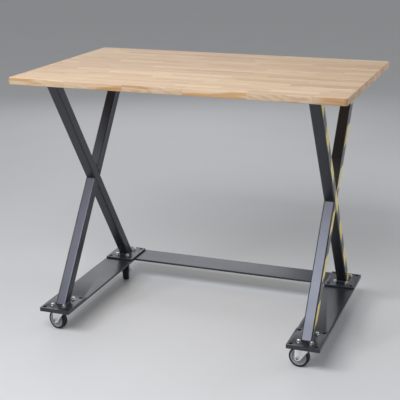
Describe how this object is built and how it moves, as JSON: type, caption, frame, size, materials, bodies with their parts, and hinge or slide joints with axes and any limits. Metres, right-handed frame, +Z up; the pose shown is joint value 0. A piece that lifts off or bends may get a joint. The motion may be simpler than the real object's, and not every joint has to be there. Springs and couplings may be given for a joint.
{
  "type": "industrial workbench",
  "caption": "Mobile workbench: solid wood top on welded X-shaped steel end frames, joined by a rear cross plate, standing on swivel casters.",
  "frame": {"origin": "on the floor, under the middle of the tabletop", "axes": "+X along the bench to the right end, +Y from the front to the back, +Z up"},
  "size_m": [1.2, 0.8, 0.983],
  "materials": {
    "wood": "satin oil on glued staves",
    "powder_coat": "satin charcoal powder coat on steel",
    "yellow_tape": "satin tape",
    "zinc": "bright zinc plate",
    "hub_grey": "moulded",
    "tyre": "matte"
  },
  "bodies": {
    "bench": {"tabletop": "wood", "left_through_leg": "powder_coat", "left_lower_half_leg": "powder_coat", "left_upper_half_leg": "powder_coat", "left_foot_plate": "powder_coat", "left_marking_strip": "yellow_tape", "right_through_leg": "powder_coat", "right_lower_half_leg": "powder_coat", "right_upper_half_leg": "powder_coat", "right_foot_plate": "powder_coat", "right_marking_strip": "yellow_tape", "rear_cross_plate": "powder_coat", "front_left_leg_plate": "powder_coat", "front_left_top_plate": "powder_coat", "front_left_mount_plate": "zinc", "front_left_kingpin": "zinc", "front_left_caster_bolt_1": "zinc", "front_left_caster_bolt_2": "zinc", "front_left_caster_bolt_3": "zinc", "front_left_caster_bolt_4": "zinc", "front_right_leg_plate": "powder_coat", "front_right_top_plate": "powder_coat", "front_right_mount_plate": "zinc", "front_right_kingpin": "zinc", "front_right_caster_bolt_1": "zinc", "front_right_caster_bolt_2": "zinc", "front_right_caster_bolt_3": "zinc", "front_right_caster_bolt_4": "zinc", "rear_left_leg_plate": "powder_coat", "rear_left_top_plate": "powder_coat", "rear_left_mount_plate": "zinc", "rear_left_kingpin": "zinc", "rear_left_caster_bolt_1": "zinc", "rear_left_caster_bolt_2": "zinc", "rear_left_caster_bolt_3": "zinc", "rear_left_caster_bolt_4": "zinc", "rear_right_leg_plate": "powder_coat", "rear_right_top_plate": "powder_coat", "rear_right_mount_plate": "zinc", "rear_right_kingpin": "zinc", "rear_right_caster_bolt_1": "zinc", "rear_right_caster_bolt_2": "zinc", "rear_right_caster_bolt_3": "zinc", "rear_right_caster_bolt_4": "zinc"},
    "front_left_swivel": {"front_left_fork": "zinc", "front_left_axle_bolt": "zinc"},
    "front_left_wheel": {"front_left_wheel_core": "hub_grey", "front_left_tyre": "tyre"},
    "front_right_swivel": {"front_right_fork": "zinc", "front_right_axle_bolt": "zinc"},
    "front_right_wheel": {"front_right_wheel_core": "hub_grey", "front_right_tyre": "tyre"},
    "rear_left_swivel": {"rear_left_fork": "zinc", "rear_left_axle_bolt": "zinc"},
    "rear_left_wheel": {"rear_left_wheel_core": "hub_grey", "rear_left_tyre": "tyre"},
    "rear_right_swivel": {"rear_right_fork": "zinc", "rear_right_axle_bolt": "zinc"},
    "rear_right_wheel": {"rear_right_wheel_core": "hub_grey", "rear_right_tyre": "tyre"}
  },
  "joints": [
    {"name": "front_left_swivel_turn", "type": "hinge", "parent": "bench", "child": "front_left_swivel", "pos_m": [-0.476, -0.296, 0.084], "axis": [0, 0, 1], "continuous": true},
    {"name": "front_left_wheel_roll", "type": "hinge", "parent": "front_left_swivel", "child": "front_left_wheel", "pos_m": [-0.50401, -0.28849, 0.0375], "axis": [0.2588, 0.9659, 0], "continuous": true},
    {"name": "front_right_swivel_turn", "type": "hinge", "parent": "bench", "child": "front_right_swivel", "pos_m": [0.476, -0.296, 0.084], "axis": [0, 0, 1], "continuous": true},
    {"name": "front_right_wheel_roll", "type": "hinge", "parent": "front_right_swivel", "child": "front_right_wheel", "pos_m": [0.44728, -0.29196, 0.0375], "axis": [0.1392, 0.9903, 0], "continuous": true},
    {"name": "rear_left_swivel_turn", "type": "hinge", "parent": "bench", "child": "rear_left_swivel", "pos_m": [-0.476, 0.296, 0.084], "axis": [0, 0, 1], "continuous": true},
    {"name": "rear_left_wheel_roll", "type": "hinge", "parent": "rear_left_swivel", "child": "rear_left_wheel", "pos_m": [-0.46608, 0.26875, 0.0375], "axis": [-0.9397, -0.342, 0], "continuous": true},
    {"name": "rear_right_swivel_turn", "type": "hinge", "parent": "bench", "child": "rear_right_swivel", "pos_m": [0.476, 0.296, 0.084], "axis": [0, 0, 1], "continuous": true},
    {"name": "rear_right_wheel_roll", "type": "hinge", "parent": "rear_right_swivel", "child": "rear_right_wheel", "pos_m": [0.44716, 0.29903, 0.0375], "axis": [0.1045, 0.9945, 0], "continuous": true}
  ]
}
